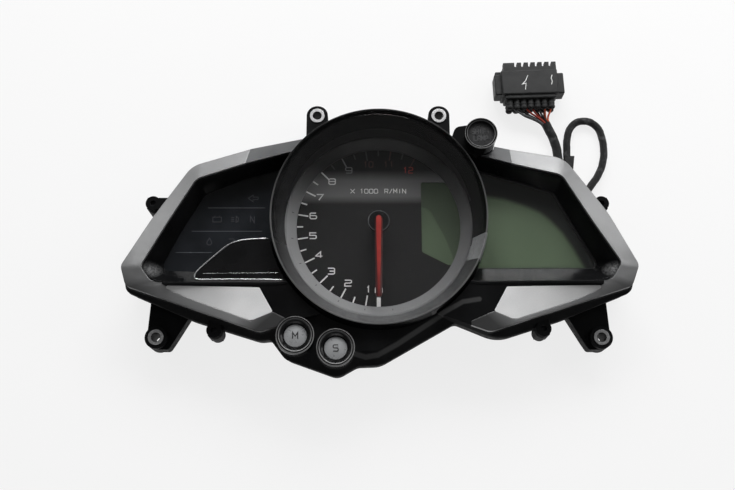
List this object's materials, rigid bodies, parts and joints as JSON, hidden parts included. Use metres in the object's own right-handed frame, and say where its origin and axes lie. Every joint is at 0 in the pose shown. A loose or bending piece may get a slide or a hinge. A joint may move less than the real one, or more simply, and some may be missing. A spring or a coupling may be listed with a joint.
{
  "type": "instrument cluster",
  "caption": "Motorcycle instrument cluster with a hooded round tachometer between two wing-shaped windows, a shift lamp, two push buttons and a taped harness ending in a plug.",
  "frame": {"origin": "where the tachometer's axis meets the flat back face of the rear housing", "axes": "+X to the rider's right along the wings, +Y to the top of the dial, +Z out of the dial towards the rider"},
  "size_m": [0.2636, 0.178, 0.0507],
  "materials": {
    "gloss_black": "polished black ABS",
    "housing_black": "fine-grained black plastic",
    "satin_silver": "satin silver-grey paint",
    "dark_silver": "satin dark grey paint",
    "bright_silver": "bright silver paint",
    "button_silver": "satin silver paint",
    "clear_lens": "clear polycarbonate",
    "lamp_lens": "smoked clear plastic",
    "dial_charcoal": "printed charcoal dial",
    "ring_silver": "satin silver paint",
    "needle_red": "red moulded plastic",
    "black_plastic": "satin black plastic",
    "steel": "zinc-plated steel",
    "brass": "tinned brass",
    "acrylic": "clear acrylic",
    "display": "grey-green liquid crystal",
    "white_plastic": "white moulded plastic",
    "panel_blue": "smoked blue-black panel",
    "board_green": "green laminate",
    "chip_black": "epoxy resin",
    "led": "clear resin",
    "aluminium_can": "drawn aluminium",
    "rubber": "black rubber",
    "tape": "black cloth tape",
    "wire": "coloured insulation",
    "plug_grey": "dark grey nylon"
  },
  "bodies": {
    "cluster": {"board_header": "white_plastic", "board_screws": "steel", "button_seals": "rubber", "button_switches": "black_plastic", "cable_boot": "rubber", "cable_grommet": "rubber", "chapter_ring": "ring_silver", "circuit_board": "board_green", "connector_housing": "plug_grey", "connector_lock": "plug_grey", "connector_terminals": "brass", "controller_chips": "chip_black", "dial_light_guide": "acrylic", "dial_lights": "led", "dial_plate": "dial_charcoal", "display_glass": "display", "display_holder": "white_plastic", "display_light_guide": "acrylic", "display_mask": "black_plastic", "front_cover": "gloss_black", "harness_lead": "tape", "harness_loop": "tape", "harness_wires": "wire", "housing_screws": "steel", "housing_seal": "rubber", "left_lower_insert": "bright_silver", "left_upper_strip": "dark_silver", "left_window_lens": "clear_lens", "left_window_surround": "gloss_black", "left_wing_trim": "satin_silver", "lower_mount_sleeves": "steel", "mode_button_collar": "gloss_black", "power_regulator": "chip_black", "rear_housing": "housing_black", "right_lower_insert": "bright_silver", "right_upper_strip": "dark_silver", "right_window_lens": "clear_lens", "right_window_surround": "gloss_black", "right_wing_trim": "satin_silver", "set_button_collar": "gloss_black", "shift_lamp_board": "board_green", "shift_lamp_housing": "gloss_black", "shift_lamp_lens": "lamp_lens", "shift_lamp_light": "led", "smoothing_capacitors": "aluminium_can", "stepper_motor": "black_plastic", "tachometer_glass": "clear_lens", "tachometer_hood": "gloss_black", "tell_tale_deck": "gloss_black", "tell_tale_light_box": "white_plastic", "tell_tale_lights": "led", "tell_tale_panel": "panel_blue", "upper_mount_sleeves": "steel"},
    "needle": {"needle": "needle_red", "needle_cap": "black_plastic", "needle_spindle": "steel"},
    "mode_button": {"mode_button": "button_silver", "mode_switch_plunger": "black_plastic"},
    "set_button": {"set_button": "button_silver", "set_switch_plunger": "black_plastic"}
  },
  "joints": [
    {"name": "needle_sweep", "type": "hinge", "parent": "cluster", "child": "needle", "pos_m": [0, 0, 0.03], "axis": [0, 0, -1], "range_deg": [0, 225]},
    {"name": "mode_button_press", "type": "slide", "parent": "cluster", "child": "mode_button", "axis": [0, 0, -1], "range_m": [0, 0.001], "stiffness_N_per_m": 600, "springref_m": -0.001},
    {"name": "set_button_press", "type": "slide", "parent": "cluster", "child": "set_button", "axis": [0, 0, -1], "range_m": [0, 0.001], "stiffness_N_per_m": 600, "springref_m": -0.001}
  ]
}
